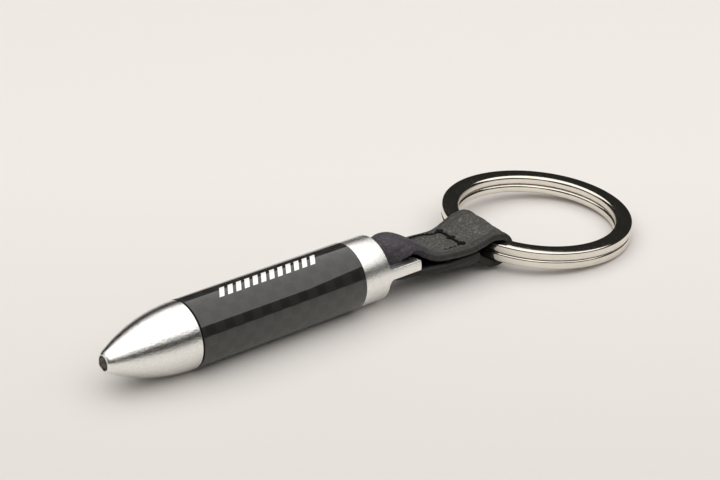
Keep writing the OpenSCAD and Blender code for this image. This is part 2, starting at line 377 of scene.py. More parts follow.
def blasted_metal(name, tint, seed, rough):
    """Bead-blasted aluminium: small dimples that sparkle, slightly mottled."""
    f = Finish(name, Metallic=1.0)
    where = f.node("ShaderNodeVectorMath", {0: f.place(), 1: (seed, 0, 0)}, operation="ADD").outputs[0]
    dimple = f.noise(where, 0.36, 3.0, 0.7)
    fine = f.noise(where, 0.09, 2.0)
    cloud = f.noise(where, 2.5, 2.0)
    colour = f.mix(cloud, [c * 0.97 for c in tint], tint)
    colour = f.mix(f.ramp(dimple, (0.36, 0.0), (0.64, 0.3)), colour, [c * 0.6 for c in tint])
    under = f.bump(dimple, 0.055, 0.8)
    normal = f.bump(fine, 0.01, 0.5, under)
    return f.set(Base_Color=colour, Roughness=f.between(fine, rough - 0.07, rough + 0.07), Normal=normal)


def turned_metal(name, tint, rough=0.26):
    """Machined metal with fine rings about the light's axis."""
    f = Finish(name, Metallic=1.0)
    rings = f.noise(f.stretched(f.place(), (1, 0.02, 0.02)), 0.12, 2.0)
    stain = f.noise(f.place(), 3.0, 3.0)
    colour = f.mix(stain, [c * 0.88 for c in tint], tint)
    normal = f.bump(rings, 0.01, 0.5)
    return f.set(Base_Color=colour, Roughness=f.between(rings, rough - 0.08, rough + 0.1), Normal=normal)


def plated_metal(name, tint, rough=0.16):
    """Smooth plated or drawn metal with faint stains and fine scratches."""
    f = Finish(name, Metallic=1.0)
    scratch = f.noise(f.stretched(f.place(), (1, 0.06, 1)), 0.2, 2.0)
    stain = f.noise(f.place(), 1.6, 3.0)
    colour = f.mix(stain, [c * 0.85 for c in tint], tint)
    normal = f.bump(scratch, 0.004, 0.4)
    return f.set(Base_Color=colour, Roughness=f.between(scratch, rough - 0.05, rough + 0.09), Normal=normal)


def moulded(name, tint, rough=0.45):
    """Plain moulded plastic, rubber or film."""
    f = Finish(name)
    grain = f.noise(f.place(), 0.25, 3.0)
    stain = f.noise(f.place(), 2.4, 2.0)
    colour = f.mix(stain, [c * 0.8 for c in tint], [min(1, c * 1.15) for c in tint])
    normal = f.bump(grain, 0.01, 0.4)
    return f.set(Base_Color=colour, Roughness=f.between(grain, rough - 0.08, rough + 0.1), Normal=normal)


def clear(name, tint, rough, ior):
    """Clear glass or epoxy with a slight tint and faint haze."""
    f = Finish(name, Transmission_Weight=1.0, IOR=ior)
    haze = f.noise(f.place(), 0.5, 2.0)
    colour = f.mix(haze, [c * 0.94 for c in tint], tint)
    return f.set(Base_Color=colour, Roughness=f.between(haze, rough, rough + 0.06))


def carbon_weave():
    """Lacquered carbon-fibre cloth: square over-and-under cells, fibres along and round the tube."""
    cells_round = 20
    cell = 2 * math.pi * BODY_R / cells_round
    f = Finish("carbon", Specular_IOR_Level=0.2, Coat_Weight=1.0, Coat_Roughness=0.03, Coat_IOR=1.58)
    apart = f.node("ShaderNodeSeparateXYZ", {0: f.place()}).outputs
    y = f.math("SUBTRACT", apart["Y"], axis_y)
    z = f.math("SUBTRACT", apart["Z"], axis_z)
    across = f.math("MULTIPLY", f.math("ARCTAN2", z, y), cells_round / (2 * math.pi))
    along = f.math("MULTIPLY", apart["X"], 1 / (cell * MM))
    u = f.math("FLOOR", along)
    v = f.math("FLOOR", across)
    parity = f.math("FLOORED_MODULO", f.math("ADD", u, v), 2.0)
    s = f.math("SUBTRACT", f.math("SUBTRACT", along, u), 0.5)
    t = f.math("SUBTRACT", f.math("SUBTRACT", across, v), 0.5)

    def tow(long_way, short_way):
        """Height of a tow that rises over one cell and is rounded across its width."""
        crown = f.math("COSINE", f.math("MULTIPLY", long_way, math.pi))
        edge = f.math("POWER", f.math("ABSOLUTE", f.math("MULTIPLY", short_way, 2.0)), 6.0)
        return f.math("SUBTRACT", crown, f.math("MULTIPLY", edge, 0.9))

    warp, weft = tow(s, t), tow(t, s)
    height = f.node("ShaderNodeMix", {"Factor": parity, "A": warp, "B": weft}).outputs["Result"]
    lengthwise = {"X": f.math("MULTIPLY", along, 0.12), "Y": across}
    crosswise = {"X": along, "Y": f.math("MULTIPLY", across, 0.12), "Z": 7.0}
    strands = f.node("ShaderNodeCombineXYZ", lengthwise).outputs[0]
    hoops = f.node("ShaderNodeCombineXYZ", crosswise).outputs[0]
    fibre = []
    for vector in (strands, hoops):
        made = f.node("ShaderNodeTexNoise", {"Vector": vector, "Scale": 26.0, "Detail": 2.0})
        fibre.append(made.outputs["Fac"])
    fibres = f.node("ShaderNodeMix", {"Factor": parity, "A": fibre[0], "B": fibre[1]}).outputs["Result"]
    # Painted sheen: tows along the tube and tows round it get two tones, standing in for how differently
    # they catch the light; the check itself is the weave's pattern.
    tone = f.mix(parity, (0.022, 0.022, 0.020), (0.009, 0.009, 0.008))
    colour = f.mix(f.between(fibres, 0.0, 0.6), tone, (0.007, 0.007, 0.006))
    cell_id = f.node("ShaderNodeCombineXYZ", {"X": u, "Y": v}).outputs[0]
    varied = f.node("ShaderNodeTexWhiteNoise", {"Vector": cell_id}).outputs["Value"]
    colour = f.mix(f.between(varied, 0.0, 0.3), colour, (0.012, 0.012, 0.011))
    under = f.bump(height, 0.05, 0.35)
    normal = f.bump(fibres, 0.012, 0.5, under)
    return f.set(Base_Color=colour, Roughness=f.between(fibres, 0.4, 0.6), Normal=normal)


# Where the tones of the leather rise and fall along the flat strap, in millimetres: BENT for the purple of
# the bent leather, UPPER for the painted sheen on the upper layer, outside which the lower layer gets
# painted shade.
BENT = (16, 19, 32, 37)
UPPER = (32, 37, 48, 55)

# The third flat coordinate, in millimetres: 0 outside, one step more for each row round the cut edge.
EDGE_STEP = 0.2
INSIDE = 10.0


def leather():
    """Black calf leather, purple where it is bent, with painted light: a pale sheen painted on the upper
    layer as if lit from above, and painted shade deepening the lower layer, the borders and, along with
    edge dye, the sheet's edges.
    """
    f = Finish("leather", Specular_IOR_Level=0.5)
    flat = f.node("ShaderNodeAttribute", attribute_name="flat").outputs["Vector"]
    size = {"Vector": flat, "Scale": 1 / (0.85 * MM)}
    cells = f.node("ShaderNodeTexVoronoi", size, feature="DISTANCE_TO_EDGE")
    pebble = f.math("MINIMUM", f.math("MULTIPLY", cells.outputs["Distance"], 3.0), 1.0)
    fine = f.noise(flat, 0.5, 4.0, 0.7)
    folds = f.noise(flat, 2.6, 3.0, 0.6)
    apart = f.node("ShaderNodeSeparateXYZ", {0: flat}).outputs
    bent = f.window(apart["X"], *BENT)
    upper = f.window(apart["X"], *UPPER)
    # How far across the strap a point lies, towards the borders where painted shade deepens the upper
    # layer.
    beside = f.smooth(f.math("ABSOLUTE", apart["Y"]), 3.0, 5.0)
    grain = f.math("ADD", f.math("MULTIPLY", fine, 0.8), f.math("MULTIPLY", pebble, 0.2))
    spread = f.ramp(grain, (0.36, 0.0), (0.72, 1.0))
    # Painted shade: the lower layer gets a deep tone for the shade it lies in, spread by the grain.
    shaded_lower = f.mix(spread, (0.004, 0.004, 0.0036), (0.020, 0.020, 0.018))
    # Painted sheen: the upper layer gets a pale tone for the light it catches from above, spread by the
    # grain.
    pale = f.mix(spread, (0.034, 0.033, 0.029), (0.170, 0.163, 0.145))
    # Painted shade: the upper layer grows deeper towards its borders, where they turn away from the light.
    pale = f.mix(f.math("MULTIPLY", beside, 0.55), pale, (0.022, 0.021, 0.019))
    purple = f.mix(spread, (0.032, 0.026, 0.034), (0.100, 0.084, 0.104))
    # Painted light chosen by layer: sheen on the upper layer, shade on the rest, and the leather's own
    # purple where it is bent.
    tone = f.mix(bent, f.mix(upper, shaded_lower, pale), purple)
    tone = f.mix(f.between(folds, 0.0, 0.4), tone, (0.010, 0.010, 0.009))
    # Edge dye and painted shade: the sheet's edges are deepened, partly as dyed leather edges, partly for
    # the shade where they turn under.
    dyed_and_shaded_edge = f.smooth(apart["Z"], 1.5 * EDGE_STEP, 4.5 * EDGE_STEP)
    tone = f.mix(f.math("MULTIPLY", dyed_and_shaded_edge, 0.8), tone, (0.006, 0.006, 0.006))
    height = f.math("ADD", f.math("MULTIPLY", pebble, 0.4), fine)
    under = f.bump(folds, 0.10, 0.4)
    rough = f.between(fine, 0.45, 0.75)
    return f.set(Base_Color=tone, Roughness=rough, Normal=f.bump(height, 0.12, 0.8, under))


def thread_finish():
    """Waxed black thread with a tight twist."""
    f = Finish("thread", Specular_IOR_Level=0.15)
    twist = f.node("ShaderNodeTexWave", {"Scale": 1 / (0.16 * MM), "Distortion": 1.5, "Detail": 1.0})
    f.put(twist.inputs["Vector"], f.place())
    twist.bands_direction = "DIAGONAL"
    colour = f.mix(twist.outputs["Fac"], (0.003, 0.003, 0.003), (0.011, 0.010, 0.010))
    return f.set(Base_Color=colour, Roughness=0.6, Normal=f.bump(twist.outputs["Fac"], 0.03, 0.8))


def print_finish():
    """White ink, slightly uneven."""
    f = Finish("white_print", Coat_Weight=1.0, Coat_Roughness=0.03)
    speck = f.noise(f.place(), 0.12, 3.0)
    colour = f.mix(speck, (0.80, 0.80, 0.78), (0.93, 0.93, 0.91))
    return f.set(Base_Color=colour, Roughness=f.between(speck, 0.35, 0.55))


def floor_finish():
    """Pale card with a barely visible tooth, with painted shade: its colour is deeper towards the front, as
    if less light fell there.
    """
    f = Finish("floor", Specular_IOR_Level=0.2)
    tooth = f.noise(f.place(), 1.4, 4.0)
    apart = f.node("ShaderNodeSeparateXYZ", {0: f.place()}).outputs
    # Painted shade: the card's colour grows lighter towards the back and deeper towards the front, standing
    # in for the fall of light across it.
    depth = f.math("ADD", f.math("MULTIPLY", apart["X"], 0.62), f.math("MULTIPLY", apart["Y"], 0.78))
    ends = {"Value": depth, "From Min": -0.065, "From Max": 0.05}
    back = f.node("ShaderNodeMapRange", ends).outputs["Result"]
    tone = f.mix(back, (0.628, 0.616, 0.592), (0.727, 0.697, 0.685))
    colour = f.mix(f.between(tooth, 0.0, 0.04), tone, (0.6, 0.58, 0.55))
    return f.set(Base_Color=colour, Roughness=f.between(tooth, 0.7, 0.85))


ALUMINIUM = (0.96, 0.95, 0.925)
nose_metal = blasted_metal("nose_metal", ALUMINIUM, 0.0, 0.18)
collar_metal = blasted_metal("collar_metal", ALUMINIUM, 0.5, 0.28)
core_metal = turned_metal("core_metal", (0.72, 0.72, 0.72))
carbon = carbon_weave()
white_print = print_finish()
black_leather = leather()
black_thread = thread_finish()
chrome = plated_metal("ring_chrome", (0.84, 0.80, 0.72), 0.07)
window_glass = clear("window", (0.74, 0.64, 0.50), 0.04, 1.5)
epoxy = clear("led_epoxy", (0.96, 0.93, 0.80), 0.02, 1.53)
phosphor = moulded("led_phosphor", (0.75, 0.62, 0.18), 0.6)
wire_steel = plated_metal("lead_wire", (0.78, 0.78, 0.76), 0.2)

# ---- camera ----

CAMERA_AZIMUTH = math.radians(-38.451)
CAMERA_ELEVATION = math.radians(26.216)
CAMERA_TARGET = Vector((0.01154, 0.01786, 0.0))
CAMERA_DISTANCE = 0.43755

camera_data = bpy.data.cameras.new("camera")
camera_data.lens = 120
camera_data.sensor_width = 36
camera_data.clip_start = 0.01
camera = bpy.data.objects.new("camera", camera_data)
scene.collection.objects.link(camera)
scene.camera = camera
flat_reach = math.cos(CAMERA_ELEVATION)
camera_back = Vector((
    math.sin(CAMERA_AZIMUTH) * flat_reach,
    -math.cos(CAMERA_AZIMUTH) * flat_reach,
    math.sin(CAMERA_ELEVATION),
))
camera.location = CAMERA_TARGET + camera_back * CAMERA_DISTANCE
camera.rotation_mode = "QUATERNION"
camera.rotation_quaternion = (-camera_back).to_track_quat("-Z", "Y")

# ---- nose, window and LED ----

def nose():
    """The bullet nose: an ogive outside, and inside it the window seat, two bores and the thread."""
    lip_r = 0.12
    bevel = 0.08
    seat = NOSE_TIP + 1.1
    window_bore_r = 1.75
    led_bore_from = NOSE_TIP + 6
    led_bore_r = 3.28
    thread_from = NOSE_TIP + 10.2
    thread_bore_r = THREAD_R + 0.05
    groove_r = THREAD_R + 0.3
    pocket_from = NOSE_BACK - 0.9
    pocket_r = 5.64
    ogive_r = (NOSE_LEN**2 + (NOSE_BASE_R - TIP_R) ** 2) / (2 * (NOSE_BASE_R - TIP_R))
    outer = []
    for i in range(49):
        s = 0.12 + (NOSE_LEN - 0.34) * i / 48
        outer.append((NOSE_BACK - s, NOSE_BASE_R - ogive_r + math.sqrt(ogive_r**2 - s * s)))
    rim = arc(NOSE_TIP + lip_r, TIP_R - lip_r, lip_r, 90, 180, 5)
    bore = rounded([
        (NOSE_TIP, APERTURE_R + bevel),
        (NOSE_TIP + bevel, APERTURE_R),
        (seat, APERTURE_R, 0.03),
        (seat, window_bore_r),
        (led_bore_from, window_bore_r),
        (led_bore_from, led_bore_r),
        (thread_from, led_bore_r),
        (thread_from, thread_bore_r),
    ])
    groove = []
    x = NOSE_TIP + 10.4
    while x + THREAD_PITCH < NOSE_BACK - 1.2:
        groove += [(x, thread_bore_r), (x + 0.3, groove_r), (x + 0.45, groove_r)]
        x += THREAD_PITCH
    pocket = rounded([
        (pocket_from, thread_bore_r, 0.08),
        (pocket_from, pocket_r, 0.05),
        (NOSE_BACK, pocket_r, 0.05),
        (NOSE_BACK, NOSE_BASE_R - 0.002, 0.1),
    ])
    piece = add_piece("nose", *lathe(outer + rim + bore + groove + pocket, 256), LIGHT, nose_metal, 25)
    return settle(piece, "head", "nose_metal", "nose_cone")


def window():
    """The small domed window behind the nose's opening."""
    lo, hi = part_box("lens_window")
    front, back = along_light("lens_window")
    r = (hi.z - lo.z) / 2 / MM
    dome = [(front + 0.12 * (q / r) ** 2, q) for q in np.linspace(0, r - 0.06, 8)]
    outline = dome + [(front + 0.16, r), (back - 0.05, r), (back, r - 0.05), (back, 0)]
    piece = add_piece("window", *lathe(outline, 96), LIGHT, window_glass)
    return settle(piece, "head", "window", "lens_window")


def led():
    """The LED: a domed epoxy body with its flange, the steel reflector cup in it and the yellow die."""
    tip, back = along_light("led")
    dome_r = 1.5
    flange_r = 1.9
    flange = back - 1
    dome = [(tip + dome_r + x, r) for x, r in arc(0, 0, dome_r, 180, 90, 16)]
    outline = dome + rounded([
        (flange, dome_r, 0.1),
        (flange, flange_r, 0.08),
        (back, flange_r, 0.08),
        (back, 0),
    ])
    lens = add_piece("led_body", *lathe(outline, 96), LIGHT, epoxy)
    settle(lens, "light_module", "led_epoxy", "led")
    cup = rounded([
        (tip + 1.8, 0.85, 0.03),
        (tip + 1.8, 0.75, 0.03),
        (tip + 2.25, 0.4),
        (tip + 2.25, 0),
        (tip + 3.6, 0),
        (tip + 3.6, 0.35, 0.05),
        (tip + 2.6, 0.45, 0.05),
    ])
    reflector = add_piece("led_reflector", *lathe(cup, 48), LIGHT, wire_steel)
    settle(reflector, "light_module", "lead_wire")
    die = rounded([(tip + 1.95, 0), (tip + 2.0, 0.35, 0.05), (tip + 2.24, 0.38, 0.03), (tip + 2.24, 0)])
    chip = add_piece("led_phosphor", *lathe(die, 40), LIGHT, phosphor)
    settle(chip, "light_module", "led_epoxy")


nose()
window()
led()

# ---- tube ----


def core_tube():
    """The inner tube, with a true helical thread in front of the seal neck."""
    front, back = along_light("core_tube")
    segments = 128
    depth = 0.25
    flank = 0.4
    run_out = 0.3
    thread_end = -1.2
    rows = int((thread_end - front) / (THREAD_PITCH / 10))
    tail_bore_r = NECK_R + 0.03
    tail_bore_from = back - 5
    wire_hole_r = 0.5
    battery_end = 16.6
    battery_r = 4.35
    sections = []

    def ring(x, radius):
        """One section of the tube, whose radius may change with the angle."""
        turns = [2 * math.pi * i / segments for i in range(segments)]
        return [(x, radius(t) * math.cos(t), radius(t) * math.sin(t)) for t in turns]

    def crest(x):
        """The thread's radius at x, as a function of the angle."""

        def radius(t):
            phase = ((x - front) / THREAD_PITCH - t / (2 * math.pi)) % 1
            ramp = min(phase / flank, 1, max(0.0, (1 - phase) / flank))
            ends = min(1, (x - front) / run_out, (thread_end - x) / run_out)
            return THREAD_R - depth + depth * min(ramp, max(0.0, ends))

        return radius

    for i in range(rows + 1):
        x = front + (thread_end - front) * i / rows
        sections.append(ring(x, crest(x)))
    outline = rounded([
        (0, THREAD_R - depth),
        (0, CORE_R, 0.05),
        (back, CORE_R, 0.05),
        (back, tail_bore_r, 0.05),
        (tail_bore_from, tail_bore_r),
        (tail_bore_from, wire_hole_r),
        (battery_end, wire_hole_r),
        (battery_end, battery_r),
        (front, battery_r),
    ], 2)
    sections += [ring(x, lambda t, r=r: r) for x, r in outline]
    piece = add_piece("inner_tube", *loft(sections, closed=True), LIGHT, core_metal)
    return settle(piece, "barrel", "core_metal", "core_tube")


def sleeve():
    """The carbon tube, as thick as the ink thinner than the body."""
    outer_r = BODY_R - INK
    inner_r = CORE_R + 0.02
    outline = rounded([
        (0, inner_r, 0.04),
        (0, outer_r, 0.1),
        (SLEEVE_LEN, outer_r, 0.1),
        (SLEEVE_LEN, inner_r, 0.04),
    ])
    piece = add_piece("carbon_tube", *lathe(outline, 256), LIGHT, carbon)
    return settle(piece, "barrel", "carbon", "carbon_sleeve")


def printed_mark():
    """A plain row of slanted white bars, printed along the tube."""
    middle_x = 16.5
    bar_len = 1.0
    bar_step = 1.7
    bars = 12
    slant = 1.5
    low_angle = math.radians(71)
    high_angle = math.radians(93)
    steps = 8
    sunk_r = BODY_R - 0.03
    parts = []
    for k in range(bars):
        start = middle_x + (k - (bars - 1) / 2) * bar_step - bar_len / 2
        sections = []
        for i in range(steps + 1):
            t = i / steps
            angle = low_angle + (high_angle - low_angle) * t
            x0 = start + slant * (t - 0.5)
            row = []
            for x in (x0, x0 + bar_len):
                pair = [(x, -r * math.cos(angle), r * math.sin(angle)) for r in (sunk_r, BODY_R)]
                row += pair if x == x0 else pair[::-1]
            sections.append(row)
        parts.append(loft(sections))
    piece = add_piece("printed_bars", *joined(*parts), LIGHT, white_print)
    return settle(piece, "barrel", "carbon")


core_tube()
sleeve()
printed_mark()

# ---- tail collar ----

TAIL = BAR @ Matrix.Translation((-BAR_X, 0, 0))


def prong(side):
    """One arm of the tongue, flared into the collar and rounded at its end."""
    flare = 0.8
    corner = 0.45
    edge = 0.12
    taper = 0.35
    start = COLLAR_BACK - 0.4
    flared = [COLLAR_BACK + flare * (1 - math.cos(math.radians(a))) for a in range(0, 91, 9)]
    ending = [TONGUE_END - corner + corner * math.sin(math.radians(a)) for a in range(0, 91, 9)]
    sections = []
    for x in [start, *flared, *ending]:
        into = min(max((x - COLLAR_BACK) / flare, 0), 1)
        half = TONGUE_HALF + flare * (1 - math.sqrt(max(0.0, 1 - (1 - into) ** 2)))
        past = max(0.0, (x - (TONGUE_END - corner)) / corner)
        turned_in = 1 - math.sqrt(max(0.0, 1 - min(past, 1) ** 2))
        half -= corner * turned_in
        narrow = taper * turned_in
        outer = [(math.sqrt(COLLAR_R**2 - z * z) - narrow, z) for z in np.linspace(half, -half, 7)]
        corners = [(SLOT_HALF, -half, edge), (SLOT_HALF, half, edge)]
        corners += [(*outer[0], edge), *outer[1:-1], (*outer[-1], edge)]
        sections.append([(x, side * y, z) for y, z in rounded(corners)])
    return loft(sections)


def tail():
    """The collar with its spigot, the two prongs and the cross bar, as one piece."""
    spigot_end = COLLAR_FRONT - 4.6
    spigot = rounded([
        (spigot_end, 0),
        (spigot_end, NECK_R, 0.1),
        (COLLAR_FRONT, NECK_R),
        (COLLAR_FRONT, COLLAR_R, 0.16),
        (COLLAR_BACK, COLLAR_R, 0.16),
        (COLLAR_BACK, 0),
    ])
    reach = SLOT_HALF + 0.3
    bar = [(-reach, 0), (-reach, CROSS_BAR_R), (reach, CROSS_BAR_R), (reach, 0)]
    verts, faces = lathe(bar, 64)
    across = [(BAR_X - y, x, z) for x, y, z in verts]
    parts = [lathe(spigot, 256), prong(-1), prong(1), (across, faces)]
    piece = fused("collar", parts, TAIL, collar_metal)
    return settle(piece, "barrel", "collar_metal", "tail_collar")


tail()

# ---- leather strap ----

ring_in_bar = BAR.inverted() @ RING


def from_ring(x, z):
    """A point of the ring's X-Z plane as (x, z) in the bar's frame."""
    p = ring_in_bar @ Vector((x, 0, z))
    return p.x, p.z


def station(x, z, near, far, near_drop=0.0, far_drop=0.0, curl=0.0, follow=0.0, lean=0.0):
    """One place along the strap, in the bar's frame.

    x and z are the middle of the sheet. near and far are its half widths, and the drops are how far
    its edges bend down there. curl is the angle through which the borders turn inwards, follow is how
    much the sheet follows the curve of the ring, and lean moves the dropped edges along the strap.
    """
    return x, z, near, far, near_drop, far_drop, curl, follow, lean


# From the lower layer's free end, round the cross bar, over the top and round the ring to the other end.
STRAP_PATH = [
    station(13.4, -3.9, 6.5, 6.1, curl=1.5),
    station(11.5, -3.65, 6.3, 6.0, curl=1.2),
    station(9.0, -3.2, 5.95, 5.9, curl=0.85),
    station(6.0, -2.8, 5.3, 5.3, near_drop=0.1, far_drop=0.1, curl=0.45),
    station(3.0, -2.62, 4.3, 4.3, near_drop=0.3, far_drop=0.3, curl=0.15),
    station(0.5, -2.7, 3.7, 3.7, near_drop=0.7, far_drop=0.7),
    station(-2.0, -2.75, 3.5, 3.5, near_drop=1.0, far_drop=1.0),
    station(-4.0, -2.1, 3.4, 3.4, near_drop=1.7, far_drop=1.7),
    station(-5.1, -0.6, 3.0, 3.35, near_drop=2.3, far_drop=2.3),
    station(-5.35, 1.2, 3.0, 3.4, near_drop=2.9, far_drop=2.9, lean=-0.2),
    station(-5.15, 2.8, 3.2, 3.45, near_drop=3.4, far_drop=3.4, lean=-0.4),
    station(-4.3, 4.05, 3.5, 3.45, near_drop=3.7, far_drop=3.5, lean=0.9),
    station(-2.9, 4.6, 3.75, 3.5, near_drop=2.9, far_drop=2.9, lean=2.0),
    station(-1.2, 4.35, 3.8, 3.6, near_drop=1.7, far_drop=1.9, lean=2.1),
    station(0.5, 3.55, 3.6, 3.8, near_drop=1.2, far_drop=1.4, lean=1.5),
    station(2.2, 2.4, 3.5, 4.1, near_drop=0.9, far_drop=0.95, lean=0.8),
    station(3.6, 1.3, 3.7, 4.5, near_drop=0.85, far_drop=0.7, lean=0.25),
    station(4.6, 0.4, 4.2, 4.9, near_drop=0.6, far_drop=0.4),
    station(5.6, -0.12, 5.0, 5.4, near_drop=0.25, far_drop=0.2),
    station(7.2, -0.35, 5.7, 5.75, near_drop=0.05, far_drop=0.1),
    station(9.5, -0.55, 5.8, 5.8, far_drop=0.05),
    station(12.0, -0.72, 5.8, 5.8, follow=0.1),
    station(14.0, -0.4, 5.8, 5.8, follow=0.4),
    station(*from_ring(-18.3, 1.9), 5.8, 5.8, far_drop=0.25, follow=0.5),
    station(*from_ring(-17.2, 2.5), 5.8, 5.8, far_drop=0.5, follow=0.85),
    station(*from_ring(-15.9, 2.6), 5.8, 5.8, far_drop=0.55, follow=1.0),
    station(*from_ring(-14.5, 2.25), 5.8, 5.8, far_drop=0.45, follow=1.0),
    station(*from_ring(-13.5, 1.15), 5.7, 5.8, follow=1.0),
    station(*from_ring(-13.35, -0.3), 5.4, 5.8, follow=1.0),
    station(*from_ring(-13.95, -1.7), 5.1, 5.7, follow=1.0),
    station(*from_ring(-15.2, -2.5), 4.9, 5.6, follow=0.9),
    station(*from_ring(-16.6, -2.7), 4.8, 5.4, follow=0.7),
    station(15.7, -3.85, 4.7, 5.2, follow=0.4),
    station(14.6, -3.05, 4.7, 5.0, follow=0.1),
    station(13.4, -2.1, 4.7, 4.9),
    station(11.5, -1.95, 4.7, 4.8),
    station(9.0, -1.75, 4.7, 4.7),
    station(7.0, -1.6, 4.6, 4.6),
]
# Rows of the grid between two stations, where across the sheet its borders begin to curl, the half
# angle of its arch where the edges drop, and the stretch of x over which it turns with the ring.
PER_SPAN = 8
CURL_FROM = 0.5
ARCH = 1.35
TURN_FROM = 13.0
TURN_TO = 19.0


def unit(a):
    """Vectors brought to length one."""
    return a / np.maximum(np.linalg.norm(a, axis=-1, keepdims=True), 1e-12)


def strap_sheet():
    """The middle of the leather sheet as a grid of points in metres.

    Returns the grid, its flat coordinates, v across it from -1 to 1 and the length along it in mm.
    """
    path = catmull(STRAP_PATH, PER_SPAN)
    t = np.linspace(-1, 1, 65)
    v = np.sign(t) * (1 - (1 - np.abs(t)) ** 1.25)
    far = v > 0
    width = path[:, 2:4][:, far.astype(int)]
    fall = path[:, 4:6][:, far.astype(int)]
    curl, follow, lean = path[:, 6:7], path[:, 7:8], path[:, 8:9]
    centre = path[:, :2]
    tangent = unit(np.gradient(centre, axis=0))
    out = np.column_stack([-tangent[:, 1], tangent[:, 0]])
    arched = np.clip(path[:, 4:6].max(axis=1, keepdims=True) / 2, 0, 1)
    side = np.sin(ARCH * v) / math.sin(ARCH)
    share = (1 - np.cos(ARCH * v)) / (1 - math.cos(ARCH))
    depth = fall * share
    shift = lean * share
    curl = np.maximum(curl, 1e-3)
    curled = curl * np.clip((np.abs(v) - CURL_FROM) / (1 - CURL_FROM), 0, 1)
    radius = width * (1 - CURL_FROM) / curl
    depth += radius * (1 - np.cos(curled))
    local = np.zeros((len(path), len(v), 3))
    round_ring = follow * (0.9 + 0.6 * v)
    local[:, :, 0] = centre[:, :1] - out[:, :1] * depth + tangent[:, :1] * shift + round_ring
    local[:, :, 2] = centre[:, 1:] - out[:, 1:] * depth + tangent[:, 1:] * shift
    flat_y = np.sign(v) * (width * np.minimum(np.abs(v), CURL_FROM) + radius * np.sin(curled))
    y = arched * width * side + (1 - arched) * flat_y
    spine = to_row(local, BAR)
    turned = smoothstep(TURN_FROM, TURN_TO, centre[:, 0])[:, None, None]
    across = np.array(bar_axis) * (1 - turned) + np.array(ring_across) * turned
    grid = spine + y[:, :, None] * across * MM
    along = np.concatenate([[0], np.cumsum(np.linalg.norm(np.diff(centre, axis=0), axis=1))])
    flat = np.zeros_like(grid)
    flat[:, :, 0] = along[:, None] * MM
    flat[:, :, 1] = v * STRAP_W / 2 * MM
    return grid, flat, v, along


def worn(grid, normal):
    """Pushes the sheet in and out a little, as soft leather sits, and less where it is bent tight."""
    waves_per_m = 330
    finer = 2.7
    push = np.zeros(grid.shape[:2])
    loose = 0.35 + 0.65 * smoothstep(2, 6, (grid[:, :, 0] - bar_at.x) / MM)
    for i, j in np.ndindex(push.shape):
        p = Vector(grid[i, j]) * waves_per_m
        push[i, j] = noise.noise(p) * 0.12 + noise.noise(p * finer) * 0.045
    return grid + normal * (push * loose * MM)[:, :, None]


# The seam's needle holes on the upper layer, as x in the bar's frame and v across the strap.
FAR_SEAM = [
    (6.6, 0.85),
    (7.6, 0.87),
    (8.6, 0.87),
    (9.5, 0.86),
    (10.3, 0.83),
    (11.1, 0.79),
    (12.0, 0.75),
    (12.9, 0.73),
]
END_SEAM = [
    (12.95, 0.73),
    (13.0, 0.50),
    (12.8, 0.27),
    (12.55, 0.06),
    (12.35, -0.16),
    (12.2, -0.36),
    (12.1, -0.53),
]
NEAR_SEAM = [(12.0, -0.55), (10.9, -0.58), (9.8, -0.60), (8.7, -0.61), (7.6, -0.60)]
# Each row of holes, how deep it pulls the leather in, the radius of its thread and how high it arches.
SEAMS = (
    (FAR_SEAM, 0.16, 0.25, 0.06),
    (END_SEAM, 0.26, 0.30, 0.10),
    (NEAR_SEAM, 0.07, 0.16, 0.0),
)
# The rows of the strap's grid that lie on the upper layer, where the seam is.
TOP_LAYER = (18 * PER_SPAN, 24 * PER_SPAN)


def on_top(surface, v, x, v_at):
    """The point of a grid of strap points that lies at x and v on the upper layer."""
    rows = np.arange(*TOP_LAYER)
    middle = surface[rows, len(v) // 2]
    i = np.interp(x, (middle[:, 0] - bar_at.x) / MM, rows)
    j = np.interp(v_at, v, np.arange(len(v)))
    a, b = int(i), int(j)
    corner = surface[a : a + 2, b : b + 2]
    lower = corner[0, 0] * (1 - j + b) + corner[0, -1] * (j - b)
    upper = corner[1, 0] * (1 - j + b) + corner[1, -1] * (j - b)
    return lower * (1 - i + a) + upper * (i - a)


def pinched(top, v):
    """How deep the thread pulls each point of the upper layer in, in metres."""
    pull = np.zeros(top.shape[:2])
    rows = slice(*TOP_LAYER)

    def dent(x, v_at, depth, reach):
        """Presses a round dent of this reach about one point of the seam."""
        apart = np.linalg.norm(top[rows] - on_top(top, v, x, v_at), axis=2) / MM
        pull[rows] = np.maximum(pull[rows], depth * np.exp(-((apart / reach) ** 2)))

    for row, depth, *_ in SEAMS:
        for x, v_at in row:
            dent(x, v_at, depth, 0.42)
        for (x0, v0), (x1, v1) in zip(row, row[1:]):
            dent((x0 + x1) / 2, (v0 + v1) / 2, 0.5 * depth, 0.5)
    return pull * MM


